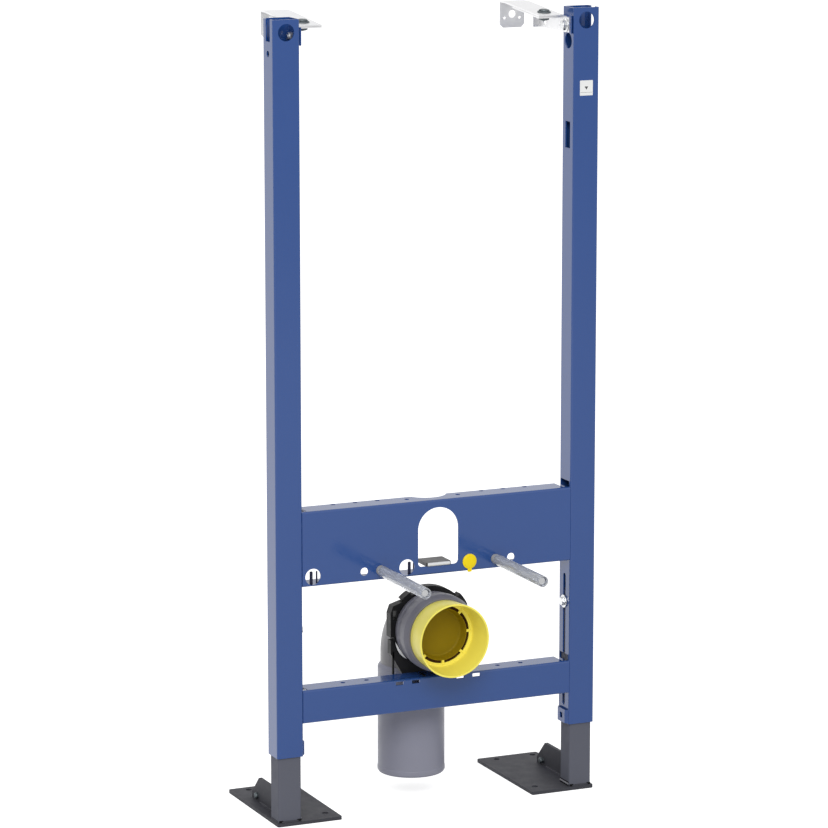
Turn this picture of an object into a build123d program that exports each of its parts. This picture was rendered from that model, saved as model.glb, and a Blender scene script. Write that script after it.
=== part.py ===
from build123d import *
from math import atan, degrees
import os

os.makedirs("parts", exist_ok=True)

# Wall-hung toilet frame, in millimetres.
# X runs to the right as one faces the frame, Y runs back towards the wall, Z runs up.
# Pieces are drawn with the posts' front faces at Y = 0 and the floor at Z = 0.
# When saved they are all shifted along Y, so that the origin is under the middle of the outline.

# Overall sizes
frame_width = 500.0
post_length = 1048.0
leg_extension = 38.0
lowest_post_bottom = 62.0
leg_stroke = 190.0

# Posts
post_width = 40.0
post_depth = 36.0
post_wall = 2.0
post_corner = 2.5
socket_hole_r = 12.0
socket_hole_drop = 18.0
top_notch_width = 15.0
top_notch_depth = 31.0
pilot_hole_r = 4.5
pilot_hole_drop = 48.0
side_hole_r = 11.0
side_hole_drop = 48.0
side_slot_width = 15.0
side_slot_length = 38.0
side_slot_drop = 182.0
louvre_height = 20.0
louvre_proud = 4.0
louvre_lift = 1.0
louvre_hole = 8.0
stop_height = 25.0
stop_drop = 12.0
stop_depth = 8.0
stop_proud = 3.5
window_margin = 8.0

# Cross members
sheet = 2.0
bend_radius = 3.0
upper_top = 355.0
upper_height = 108.5
upper_depth = 38.0
lower_top = 96.0
lower_height = 48.5
lower_depth = 36.0
lip_height = 8.0
end_relief = 9.0

# Web of the upper cross member
stud_spacing = 180.0
stud_drop = 94.5
arch_width = 63.0
arch_height = 85.0
arch_sill = 12.5
arch_corner = 6.0
small_hole_spacing = 230.0
small_hole_r = 6.0
big_hole_spacing = 98.0
big_hole_r = 11.8
end_hole_x = 194.0
flush_notch_r = 31.0
flush_notch_depth = 20.0
near_flange_x = 40.0
near_flange_y = 21.0
far_flange_x = 116.0
far_flange_step = 34.5
far_flange_y = 31.0
flange_hole_r = 3.5
low_flange_x = 122.0
low_flange_step = 36.5
low_flange_y = 20.0
web_slot_x = (35.0, 60.5)
web_slot_width = 12.0
web_slot_height = 5.0
web_slot_drop = 2.5

# Legs and feet
leg_clearance = 0.5
leg_wall = 2.5
leg_corner = 3.0
leg_overlap = 198.0
plate_width = 99.0
plate_length = 194.0
plate_thickness = 5.0
plate_overhang = 1.5
plate_corner = 3.0
plate_hole_r = 4.5
plate_back_hole_y = 178.5
plate_back_hole_x = 26.5
plate_back_spacing = 60.0
plate_front_hole_y = 24.0
plate_front_hole_x = 167.0
lug_back_y = 142.5
lug_height = 35.5
lug_back_height = 9.0
lug_chamfer = 26.5
lug_thickness = 5.0
lug_bolt_y = 122.0
lug_bolt_rise = 7.5
lug_bolt_r = 4.7
lug_bolt_head = 4.5
lug_bolt_shank_r = 3.0
screw_slot_top = 220.0
screw_hole_r = 3.3
screw_head_r = 6.5
screw_head_height = 4.0
washer_r = 9.5
washer_thickness = 1.5
slot_width = 8.0
running_gap = 0.3

# Studs
stud_r = 6.0
stud_reach = 158.0
stud_behind = 24.0
stud_play = 0.5
sleeve_r = 8.0
stud_inset = 4.0
sleeve_back_bare = 10.0
collar_r = 7.0
nut_flats = 19.0
nut_height = 10.0

# Drain
drain_drop = 100.0
pipe_r = 45.0
pipe_wall = 3.5
pipe_axis_y = 96.0
elbow_radius = 52.0
socket_r = 49.0
socket_bottom = 32.0
socket_taper = 5.0
socket_length = 163.0
collar_back_y = 30.0
collar_length = 45.7
collar_outer_r = 55.0
collar_band_r = 57.0
collar_band_start = 22.0
collar_band_end = 36.0
collar_rim_r = 53.0
collar_bore_r = 47.0
collar_floor = 8.0
collar_mouth_depth = 6.0
seal_gap = 0.3

# Plug in the drain bend
plug_back_r = 50.9
plug_front_r = 53.8
plug_length = 41.6
plug_wall = 2.5
plug_neck_r = 49.0
plug_ledge_r = 47.2
plug_ledge_depth = 2.2
plug_disc_r = 36.0
plug_disc_depth = 16.0
plug_slots = 8
plug_slot_width = 4.0
plug_rib = 5.0

# Clip that holds the bend, and the cradle under it
clip_front_y = 31.0
clip_width = 15.0
clip_gap = 0.5
clip_ring = 11.5
clip_lug_rises = (4.5, 10.0, 5.5)
clip_lug_angles = (72, 34, 126)
clip_lug_spans = (50, 18, 14)
clasp_reach = 61.0
clasp_low = -9.0
clasp_high = 26.0
clasp_corner = (57.0, 37.0)
clasp_end = (40.0, 42.0)
clasp_window = (52.0, 57.0, 18.0, 30.0)
cradle_inset = 2.0
cradle_base = 84.0
cradle_spread = 60.0
cradle_wing = 14.0
cradle_waist = 34.0

# Flush pipe holder and the round cover
holder_width = 38.5
holder_depth = 30.0
holder_thickness = 5.5
holder_lip_inset = 1.0
holder_lip_reach = 3.0
holder_lip_low = 0.5
holder_lip_height = 4.5
holder_lip_round = 1.4
cover_hole_r = 10.2
cover_flange_r = 11.0
cover_flange = 1.5
cover_tab_width = 6.5
cover_tab = 4.5

# Wall brackets
bracket_sheet = 2.0
bracket_y = 154.0
bracket_plate_width = 39.0
bracket_plate_height = 39.0
bracket_plate_chamfer = 5.0
bracket_drop = 1.0
bracket_gap = 0.3
arm_inset = 4.5
arm_front_y = 25.0
arm_crest_y = 138.0
arm_fall = 10.5
mount_low_drop = 36.0
mount_front = 12.0
mount_back = 112.0
mount_ear = 11.0
mount_hole_y = 91.0
mount_hole_r = 5.5
mount_hole_flat = 1.5
bracket_bolt_r = 4.0
bracket_bolt_drop = 26.5
bracket_bolt_y = 23.0
bracket_hole_r = 5.5
bracket_hole_drop = 19.5
bracket_small_hole_r = 2.0
bracket_small_spacing = 24.0
bracket_small_drop = 25.0
bracket_travel_in = 10.0
bracket_travel_out = 50.0
clamp_y = 48.0
clamp_flange_r = 10.0
clamp_flange = 2.0
clamp_flats = 17.0
clamp_head = 6.5
bolt_play = 0.2

# Worked out from the sizes above
half_width = frame_width / 2
inner_face = half_width - post_width
post_x = half_width - post_width / 2
post_y = post_depth / 2
post_bottom = lowest_post_bottom + leg_extension
post_top = post_bottom + post_length
upper_z = post_bottom + upper_top
upper_low = upper_z - upper_height
lower_z = post_bottom + lower_top
lower_low = lower_z - lower_height
stud_z = upper_z - stud_drop
drain_z = stud_z - drain_drop
leg_width = post_width - 2 * (post_wall + leg_clearance)
leg_depth = post_depth - 2 * (post_wall + leg_clearance)
leg_top = post_bottom + leg_overlap
screw_top = post_bottom + screw_slot_top
screw_z = screw_top - leg_extension
screw_y = post_y
plate_front = -plate_overhang
plate_back = plate_front + plate_length
front_most = -stud_reach
shift_y = -(front_most + plate_back) / 2
socket_bore_r = socket_r - pipe_wall
socket_bore_length = socket_length - socket_taper - pipe_wall
collar_front_y = collar_back_y - collar_length
plug_back_y = collar_front_y - seal_gap
arm_high = post_top - bracket_drop
arm_slope = arm_fall / (arm_crest_y - arm_front_y)
slope_angle = degrees(atan(arm_slope))
bolt_z = post_top - bracket_bolt_drop
mount_low = post_top - mount_low_drop
wall_low = arm_high - bracket_plate_height
wall_hole_z = arm_high - bracket_hole_drop
wall_plate_outer = inner_face - arm_inset
wall_plate_inner = wall_plate_outer - bracket_plate_width
wall_plate_middle = wall_plate_outer - bracket_plate_width / 2


def box(x, y, z):
    """A block given by its low and high corner along each axis."""
    size = (x[1] - x[0], y[1] - y[0], z[1] - z[0])
    centre = ((x[0] + x[1]) / 2, (y[0] + y[1]) / 2, (z[0] + z[1]) / 2)
    return Pos(*centre) * Box(*size)


def rod_x(r, x, y, z):
    """A round bar along X between x[0] and x[1]."""
    return Pos((x[0] + x[1]) / 2, y, z) * Rot(0, 90, 0) * Cylinder(r, x[1] - x[0])


def rod_y(r, x, y, z):
    """A round bar along Y between y[0] and y[1]."""
    return Pos(x, (y[0] + y[1]) / 2, z) * Rot(90, 0, 0) * Cylinder(r, y[1] - y[0])


def rod_z(r, x, y, z):
    """A round bar along Z between z[0] and z[1]."""
    return Pos(x, y, (z[0] + z[1]) / 2) * Cylinder(r, z[1] - z[0])


def tube(width, depth, corner, wall, x, y, z):
    """A rectangular tube along Z with rounded corners."""
    outer = RectangleRounded(width, depth, corner)
    inner = RectangleRounded(width - 2 * wall, depth - 2 * wall, max(corner - wall, 0.5))
    return Pos(x, y, z[0]) * extrude(outer - inner, z[1] - z[0])


def save(shape, name):
    export_step(shape.moved(Location((0, shift_y, 0))), f"parts/{name}.step")


def save_pair(shape, name):
    """Save a piece made for the right side, and its mirror image for the left."""
    save(shape, "right_" + name)
    save(mirror(shape, Plane.YZ), "left_" + name)


# Posts
def make_post():
    post = tube(post_width, post_depth, post_corner, post_wall, post_x, post_y, (post_bottom, post_top))
    through = 2 * post_wall
    inner = (inner_face - through, inner_face + through)
    outer = (half_width - through, half_width + through)
    front = (-through, through)
    post -= rod_y(socket_hole_r, post_x, front, post_top - socket_hole_drop)
    notch_y = (post_y - top_notch_width / 2, post_y + top_notch_width / 2)
    post -= box(outer, notch_y, (post_top - top_notch_depth, post_top + through))
    post -= rod_x(pilot_hole_r, outer, post_y, post_top - pilot_hole_drop)
    post -= rod_x(side_hole_r, inner, post_y, post_top - side_hole_drop)
    post -= rod_x(bracket_bolt_r + bolt_play, inner, bracket_bolt_y, bolt_z)
    slot_y = (post_y - side_slot_width / 2, post_y + side_slot_width / 2)
    slot_z = post_top - side_slot_drop
    post -= box(inner, slot_y, (slot_z - side_slot_length / 2, slot_z + side_slot_length / 2))
    low = screw_top - leg_stroke
    post -= box(inner, (screw_y - slot_width / 2, screw_y + slot_width / 2), (low, screw_top))
    for z in (low, screw_top):
        post -= rod_x(slot_width / 2, inner, screw_y, z)
    for top in (upper_z, lower_z):
        window_y = (post_wall + bend_radius, post_depth - post_wall - 1)
        post -= box(inner, window_y, (top - sheet, top + window_margin))
    return post + make_stop()


def make_stop():
    """A tab pressed out of the inner wall beside the bracket, open towards the front."""
    high = post_top - stop_drop
    y = (post_corner, post_corner + stop_depth)
    outline = Polyline(
        (inner_face + post_wall / 2, y[1], high - stop_height),
        (inner_face - stop_proud, y[0], high - stop_height),
        (inner_face - stop_proud + post_wall / 2, y[0], high - stop_height),
        (inner_face + post_wall / 2, y[1] - post_wall, high - stop_height),
        close=True,
    )
    return extrude(make_face(outline), stop_height, dir=(0, 0, 1))


save_pair(make_post(), "post")


# Louvres pressed out of the posts' inner walls
def make_louvre(z):
    y = (post_corner, post_depth - post_corner)
    profile = Polyline(
        (inner_face, y[0], z),
        (inner_face - louvre_proud, y[0] + louvre_proud, z),
        (inner_face - louvre_proud, y[1] - louvre_proud, z),
        (inner_face, y[1], z),
        (inner_face, y[1] - sheet, z),
        (inner_face - louvre_proud + sheet, y[1] - louvre_proud - sheet / 2, z),
        (inner_face - louvre_proud + sheet, y[0] + louvre_proud + sheet / 2, z),
        (inner_face, y[0] + sheet, z),
        close=True,
    )
    louvre = extrude(make_face(profile), louvre_height, dir=(0, 0, 1))
    middle = z + louvre_height / 2
    hole_x = (inner_face - 2 * louvre_proud, inner_face + sheet)
    hole_y = (post_y - louvre_hole / 2, post_y + louvre_hole / 2)
    return louvre - box(hole_x, hole_y, (middle - louvre_hole / 2, middle + louvre_hole / 2))


save_pair(make_louvre(post_bottom + louvre_lift), "post_louvre")


# Cross members: folded sheet channels, open at the back
def make_channel(top, height, depth, low_lip):
    low = top - height
    outer = Pos(0, depth / 2, (top + low) / 2) * Rot(0, 90, 0) * RectangleRounded(height, depth, bend_radius)
    inner_r = bend_radius - sheet
    inner = Pos(0, depth / 2, (top + low) / 2) * Rot(0, 90, 0) * RectangleRounded(height - 2 * sheet, depth - 2 * sheet, inner_r)
    solid = extrude(outer - inner, inner_face, both=True)
    span = inner_face + 1
    solid -= box((-span, span), (depth - 2 * sheet, depth + 1), (low + lip_height, top - lip_height))
    if not low_lip:
        solid -= box((-span, span), (depth - bend_radius, depth + 1), (low - 1, low + lip_height + 1))
    for side in (-1, 1):
        x = sorted((side * (inner_face - end_relief), side * span))
        solid -= box(x, (post_wall + bend_radius, depth + 1), (low - 1, top + 1))
    return solid


def make_upper():
    beam = make_channel(upper_z, upper_height, upper_depth, low_lip=False)
    cut = (-sheet, 2 * sheet)
    arch_low = upper_low + arch_sill
    arch_r = arch_width / 2
    sketch = Pos(0, arch_height / 2) * Rectangle(arch_width, arch_height)
    tops = sketch.vertices().group_by(Axis.Y)[-1]
    sketch = fillet(tops, arch_r - 0.01)
    sketch = fillet(sketch.vertices().group_by(Axis.Y)[0], arch_corner)
    arch = Pos(0, 0, arch_low) * Rot(90, 0, 0) * extrude(sketch, 3 * sheet, both=True)
    beam -= arch
    for side in (-1, 1):
        beam -= rod_y(stud_r + stud_play, side * stud_spacing / 2, cut, stud_z)
        beam -= rod_y(small_hole_r, side * small_hole_spacing / 2, cut, stud_z)
        hole_r = cover_hole_r if side > 0 else big_hole_r
        beam -= rod_y(hole_r, side * big_hole_spacing / 2, cut, stud_z)
        z = (upper_z - 2 * sheet, upper_z + sheet)
        beam -= rod_z(flange_hole_r, side * near_flange_x, near_flange_y, z)
        for step in (-1, 0, 1):
            x = side * (far_flange_x + step * far_flange_step)
            beam -= rod_z(flange_hole_r, x, far_flange_y, z)
    beam -= rod_y(big_hole_r, -end_hole_x, cut, stud_z)
    notch_y = upper_depth + flush_notch_r - flush_notch_depth
    beam -= rod_z(flush_notch_r, 0, notch_y, (upper_z - lip_height - 1, upper_z + 1))
    return beam


def make_lower():
    beam = make_channel(lower_z, lower_height, lower_depth, low_lip=True)
    for side in (-1, 1):
        for step in (-0.5, 0.5):
            x = side * (low_flange_x + step * low_flange_step)
            beam -= rod_z(flange_hole_r, x, low_flange_y, (lower_z - 2 * sheet, lower_z + sheet))
        slot_z = (lower_z - web_slot_drop - web_slot_height, lower_z - web_slot_drop)
        for near in web_slot_x:
            slot_x = (side * near - web_slot_width / 2, side * near + web_slot_width / 2)
            beam -= box(slot_x, (-1, 2 * sheet), slot_z)
    return beam


save(make_upper(), "upper_cross_member")
save(make_lower(), "lower_cross_member")


# Legs, their clamp screws and the feet
def make_leg():
    leg = tube(leg_width, leg_depth, leg_corner, leg_wall, post_x, post_y, (plate_thickness, leg_top))
    near = post_x - leg_width / 2
    leg -= rod_x(screw_hole_r, (near - 1, near + 2 * leg_wall), screw_y, screw_z)
    return leg


def make_leg_screw():
    wall = inner_face - running_gap
    washer = rod_x(washer_r, (wall - washer_thickness, wall), screw_y, screw_z)
    head_x = (wall - washer_thickness - screw_head_height, wall - washer_thickness)
    head = Pos(head_x[0], screw_y, screw_z) * Rot(0, 90, 0) * extrude(RegularPolygon(screw_head_r, 6), screw_head_height)
    shank_end = post_x - leg_width / 2 + 2 * leg_wall
    shank = rod_x(screw_hole_r, (head_x[1] - 1, shank_end), screw_y, screw_z)
    return washer + head + shank


def make_foot_plate(side):
    """The right plate (side 1) or the left one (-1): their back holes stand at the same place from the left edge."""
    x = sorted((side * half_width, side * (half_width - plate_width)))
    plate = box(x, (plate_front, plate_back), (0, plate_thickness))
    plate = fillet(plate.edges().filter_by(Axis.Z), plate_corner)
    through = (-1, plate_thickness + 1)
    plate -= rod_z(plate_hole_r, side * plate_front_hole_x, plate_front_hole_y, through)
    for hx in (x[0] + plate_back_hole_x, x[0] + plate_back_hole_x + plate_back_spacing):
        plate -= rod_z(plate_hole_r, hx, plate_back_hole_y, through)
    return plate


leg_back = post_y + leg_depth / 2


def make_foot_lug():
    """An upright flat bar behind the leg, with its back corner cut off."""
    base = plate_thickness
    outline = Polyline(
        (post_x, leg_back, base),
        (post_x, lug_back_y, base),
        (post_x, lug_back_y, base + lug_back_height),
        (post_x, lug_back_y - lug_chamfer, base + lug_height),
        (post_x, leg_back, base + lug_height),
        close=True,
    )
    lug = extrude(make_face(outline), lug_thickness / 2, both=True, dir=(1, 0, 0))
    across = (post_x - lug_thickness, post_x + lug_thickness)
    return lug - rod_x(lug_bolt_shank_r, across, lug_bolt_y, base + lug_bolt_rise)


def make_lug_bolt():
    z = plate_thickness + lug_bolt_rise
    side = lug_thickness / 2
    shank = rod_x(lug_bolt_shank_r, (post_x - side, post_x + side), lug_bolt_y, z)
    heads = rod_x(lug_bolt_r, (post_x - side - lug_bolt_head, post_x - side), lug_bolt_y, z)
    heads += rod_x(lug_bolt_r, (post_x + side, post_x + side + lug_bolt_head), lug_bolt_y, z)
    return shank + heads


save_pair(make_leg(), "leg")
save_pair(make_leg_screw(), "leg_screw")
save(make_foot_plate(1), "right_foot_plate")
save(make_foot_plate(-1), "left_foot_plate")
save_pair(make_foot_lug(), "foot_lug")
save_pair(make_lug_bolt(), "lug_bolt")


# Fixing studs with their protective sleeves and back nuts
def make_stud():
    return rod_y(stud_r, stud_spacing / 2, (stud_inset - stud_reach, stud_behind), stud_z)


def make_sleeve():
    y = (-stud_reach, -sleeve_back_bare)
    sleeve = rod_y(sleeve_r, stud_spacing / 2, y, stud_z)
    sleeve += rod_y(collar_r, stud_spacing / 2, (y[1] - 1, 0), stud_z)
    return sleeve - rod_y(stud_r, stud_spacing / 2, (y[0] - 1, 1), stud_z)


def make_stud_nut():
    y = sheet
    hexagon = RegularPolygon(nut_flats / 2, 6, major_radius=False)
    nut = Pos(stud_spacing / 2, y + nut_height, stud_z) * Rot(90, 0, 0) * extrude(hexagon, nut_height)
    return nut - rod_y(stud_r, stud_spacing / 2, (y - 1, y + nut_height + 1), stud_z)


save_pair(make_stud(), "stud")
save_pair(make_sleeve(), "stud_sleeve")
save_pair(make_stud_nut(), "stud_nut")


# Drain bend, its sockets, the plug and the clip
def swept_bend(r):
    y0 = collar_back_y
    turn_y = pipe_axis_y - elbow_radius
    turn_z = drain_z - elbow_radius
    low = socket_bottom + socket_length
    half = elbow_radius * 2**-0.5
    path = Line((0, y0, drain_z), (0, turn_y, drain_z))
    path += ThreePointArc((0, turn_y, drain_z), (0, turn_y + half, turn_z + half), (0, pipe_axis_y, turn_z))
    path += Line((0, pipe_axis_y, turn_z), (0, pipe_axis_y, low))
    section = Plane(origin=(0, y0, drain_z), z_dir=(0, 1, 0)) * Circle(r)
    return sweep(section, path=path)


def make_bend():
    return swept_bend(pipe_r) - swept_bend(pipe_r - pipe_wall)


def ring_profile(points, axis):
    """Turn a closed outline, given as radius and height, about an axis."""
    face = make_face(Polyline(*[(r, 0, h) for r, h in points], close=True))
    return axis * revolve(face, Axis.Z)


def make_lower_socket():
    top = socket_bottom + socket_length
    inner = socket_bore_r
    outline = [
        (inner, socket_bottom),
        (socket_r, socket_bottom),
        (socket_r, top - socket_taper),
        (pipe_r, top),
        (pipe_r - pipe_wall, top),
        (pipe_r - pipe_wall, top - socket_taper),
        (inner, top - socket_taper - pipe_wall),
    ]
    return ring_profile(outline, Pos(0, pipe_axis_y, 0))


def front_axis(y):
    """A frame on the drain axis whose Z points out of the wall."""
    return Pos(0, y, drain_z) * Rot(90, 0, 0)


def make_bend_collar():
    mouth = plug_neck_r + seal_gap
    outline = [
        (pipe_r - pipe_wall, 0),
        (collar_outer_r, 0),
        (collar_outer_r, collar_band_start),
        (collar_band_r, collar_band_start),
        (collar_band_r, collar_band_end),
        (collar_rim_r, collar_length),
        (mouth, collar_length),
        (mouth, collar_length - collar_mouth_depth),
        (collar_bore_r, collar_length - collar_mouth_depth),
        (collar_bore_r, collar_floor),
        (pipe_r - pipe_wall, collar_floor),
    ]
    return ring_profile(outline, front_axis(collar_back_y))


def make_plug():
    cup_r = plug_disc_r + plug_wall
    outline = [
        (0, -plug_disc_depth - plug_wall),
        (cup_r, -plug_disc_depth - plug_wall),
        (cup_r, -plug_ledge_depth - plug_wall),
        (plug_neck_r, -plug_ledge_depth - plug_wall),
        (plug_neck_r, 0),
        (plug_back_r, 0),
        (plug_front_r, plug_length),
        (plug_front_r - plug_wall, plug_length),
        (plug_ledge_r, -plug_ledge_depth),
        (plug_disc_r, -plug_ledge_depth),
        (plug_disc_r, -plug_disc_depth),
        (0, -plug_disc_depth),
    ]
    plug = ring_profile(outline, front_axis(plug_back_y))
    ring = Circle(cup_r + plug_slot_width) - Circle(cup_r)
    for i in range(plug_slots // 2):
        rib = Rectangle(4 * cup_r, plug_rib)
        ring -= Rot(0, 0, i * 360 / plug_slots) * rib
    slots = extrude(ring, plug_wall, both=True)
    return plug - front_axis(plug_back_y + plug_ledge_depth + plug_wall / 2) * slots


def make_clip():
    inner = pipe_r + clip_gap
    outer = inner + clip_ring
    ring = Circle(outer) - Circle(inner)
    for angle, span, rise in zip(clip_lug_angles, clip_lug_spans, clip_lug_rises):
        lug = Circle(outer + rise) - Circle(outer - 1)
        wedge = make_face(Polyline(
            (0, 0),
            polar(2 * outer, angle - span / 2),
            polar(2 * outer, angle + span / 2),
            close=True,
        ))
        ring += lug & wedge
    clasp = make_face(Polyline(
        (0, clasp_low),
        (-clasp_reach, clasp_low),
        (-clasp_reach, clasp_high),
        (-clasp_corner[0], clasp_corner[1]),
        (-clasp_end[0], clasp_end[1]),
        (0, 0),
        close=True,
    ))
    ring += clasp - Circle(outer - 1)
    near, far, low, high = clasp_window
    ring -= Pos(-(near + far) / 2, (low + high) / 2) * Rectangle(far - near, high - low)
    return front_axis(clip_front_y + clip_width) * extrude(ring, clip_width)


def polar(r, angle):
    """The point at a distance and an angle in degrees, seen from the front."""
    point = Vector(r, 0).rotate(Axis.Z, angle)
    return (point.X, point.Y)


def make_clip_foot():
    """The cradle under the clip ring, which stands on the lower cross member."""
    reach = pipe_r + clip_gap + clip_ring + seal_gap
    half = cradle_base / 2
    wing_z = drain_z - cradle_wing
    y = (clip_front_y + cradle_inset, clip_front_y + clip_width - cradle_inset)
    outline = Polyline(
        (-half, y[0], lower_z),
        (half, y[0], lower_z),
        (cradle_spread, y[0], drain_z - cradle_waist),
        (cradle_spread, y[0], wing_z),
        (-cradle_spread, y[0], wing_z),
        (-cradle_spread, y[0], drain_z - cradle_waist),
        close=True,
    )
    foot = extrude(make_face(outline), y[1] - y[0], dir=(0, 1, 0))
    return foot - rod_y(reach, 0, (y[0] - 1, y[1] + 1), drain_z)


save(make_bend(), "drain_bend")
save(make_lower_socket(), "bend_lower_socket")
save(make_bend_collar(), "bend_collar")
save(make_plug(), "drain_plug")
save(make_clip(), "bend_clip")
save(make_clip_foot(), "clip_foot")


# Flush pipe holder on the sill of the arch, and the round cover
def make_holder():
    """A plate that lies on the sill, with a round-edged lip along its front."""
    z = upper_low + arch_sill
    half = holder_width / 2
    plate = box((-half, half), (0, holder_depth), (z, z + holder_thickness))
    lip_z = (z + holder_lip_low, z + holder_lip_low + holder_lip_height)
    lip = box((holder_lip_inset - half, half - holder_lip_inset), (-holder_lip_reach, 1), lip_z)
    lip = fillet(lip.edges().filter_by(Axis.X).group_by(Axis.Y)[0], holder_lip_round)
    return plate + lip


def make_cover():
    x = big_hole_spacing / 2
    body = rod_y(cover_hole_r, x, (0, 2 * sheet), stud_z)
    flange = rod_y(cover_flange_r, x, (-cover_flange, 0), stud_z)
    tab_z = (stud_z - cover_flange_r - cover_tab, stud_z)
    flange += box((x - cover_tab_width / 2, x + cover_tab_width / 2), (-cover_flange, 0), tab_z)
    return body + flange


save(make_holder(), "flush_pipe_holder")
save(make_cover(), "hole_cover")


# Wall brackets: a fixed angle on the post, and an arm that slides on its sloping top
def arm_z(y):
    """Height of the arm's top face at a distance y behind the posts' fronts."""
    return arm_high - arm_slope * (arm_crest_y - y)


def side_sheet(points, x):
    """A sheet given by its outline in the YZ plane, between x[0] and x[1]."""
    outline = Polyline(*[(x[0], y, z) for y, z in points], close=True)
    return extrude(make_face(outline), x[1] - x[0], dir=(1, 0, 0))


def make_bracket_mount():
    strap_x = (inner_face - bracket_sheet, inner_face)
    fall = bracket_sheet + bracket_gap
    y = (arm_front_y, mount_back)
    high = [arm_z(v) - fall for v in y]
    front_high = arm_z(mount_front) - fall
    strap = side_sheet(
        [(mount_front, mount_low), (y[1], mount_low), (y[1], high[1]), (mount_front, front_high)],
        strap_x,
    )
    flange = side_sheet(
        [(y[0], high[0] - bracket_sheet), (y[1], high[1] - bracket_sheet), (y[1], high[1]), (y[0], high[0])],
        (wall_plate_inner, strap_x[1]),
    )
    ear_x = (inner_face - mount_ear, inner_face)
    ear = box(ear_x, (y[1] - bracket_sheet, y[1]), (mount_low, high[1] - bracket_sheet / 2))
    through = (inner_face - 2 * bracket_sheet, inner_face + bracket_sheet)
    hole = rod_x(mount_hole_r, through, mount_hole_y, bolt_z)
    flat_y = mount_hole_y - mount_hole_r
    hole -= box(through, (flat_y - 1, flat_y + mount_hole_flat), (bolt_z - mount_hole_r, bolt_z + mount_hole_r))
    strap -= hole
    strap -= rod_x(bracket_bolt_r + bolt_play, through, bracket_bolt_y, bolt_z)
    slot_r = bracket_bolt_r + bolt_play
    ends = (clamp_y - bracket_travel_in, clamp_y + bracket_travel_out)
    slot_z = (high[0] - 2 * bracket_sheet, high[1] + bracket_sheet)
    flange -= box((wall_plate_middle - slot_r, wall_plate_middle + slot_r), ends, slot_z)
    for end in ends:
        flange -= rod_z(slot_r, wall_plate_middle, end, slot_z)
    return strap + flange + ear


def make_wall_bracket():
    x = (wall_plate_inner, wall_plate_outer)
    back = bracket_y + bracket_sheet
    arm = side_sheet(
        [
            (arm_front_y, arm_z(arm_front_y)),
            (arm_crest_y, arm_high),
            (back, arm_high),
            (back, arm_high - bracket_sheet),
            (arm_crest_y, arm_high - bracket_sheet),
            (arm_front_y, arm_z(arm_front_y) - bracket_sheet),
        ],
        x,
    )
    through = (arm_z(clamp_y) - 4 * bracket_sheet, arm_z(clamp_y) + 4 * bracket_sheet)
    arm -= rod_z(bracket_bolt_r + bolt_play, wall_plate_middle, clamp_y, through)
    plate = box(x, (bracket_y, back), (wall_low, arm_high))
    plate = chamfer(plate.edges().filter_by(Axis.Y).group_by(Axis.Z)[0], bracket_plate_chamfer)
    through = (bracket_y - bracket_sheet, back + bracket_sheet)
    plate -= rod_y(bracket_hole_r, wall_plate_middle, through, wall_hole_z)
    for side in (-1, 1):
        small_x = wall_plate_middle + side * bracket_small_spacing / 2
        plate -= rod_y(bracket_small_hole_r, small_x, through, arm_high - bracket_small_drop)
    return arm + plate


def flange_bolt(shank):
    """A bolt along Z whose head stands on Z = 0, with its shank below."""
    head = Cylinder(clamp_flange_r, clamp_flange, align=(Align.CENTER, Align.CENTER, Align.MIN))
    head += extrude(RegularPolygon(clamp_flats / 2, 6, major_radius=False), clamp_head)
    return head + Cylinder(bracket_bolt_r, shank, align=(Align.CENTER, Align.CENTER, Align.MAX))


def hex_nut():
    """A nut that stands on Z = 0."""
    nut = extrude(RegularPolygon(clamp_flats / 2, 6, major_radius=False), clamp_head)
    return nut - Cylinder(bracket_bolt_r, 4 * clamp_head)


def make_bracket_bolt():
    grip = bracket_sheet + post_wall
    bolt = flange_bolt(grip + clamp_head + 1)
    bolt += Pos(0, 0, -grip - clamp_head) * hex_nut()
    return Pos(inner_face - bracket_sheet, bracket_bolt_y, bolt_z) * Rot(0, -90, 0) * bolt


def make_clamp_bolt():
    grip = 2 * bracket_sheet + bracket_gap
    bolt = flange_bolt(grip + clamp_head + 1)
    bolt += Pos(0, 0, -grip - clamp_head - bracket_gap) * hex_nut()
    place = Pos(wall_plate_middle, clamp_y, arm_z(clamp_y)) * Rot(X=slope_angle)
    return place * Pos(0, 0, bolt_play / 2) * bolt


save_pair(make_bracket_mount(), "bracket_mount")
save_pair(make_wall_bracket(), "wall_bracket")
save_pair(make_bracket_bolt(), "bracket_bolt")
save_pair(make_clamp_bolt(), "bracket_clamp_bolt")
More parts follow.
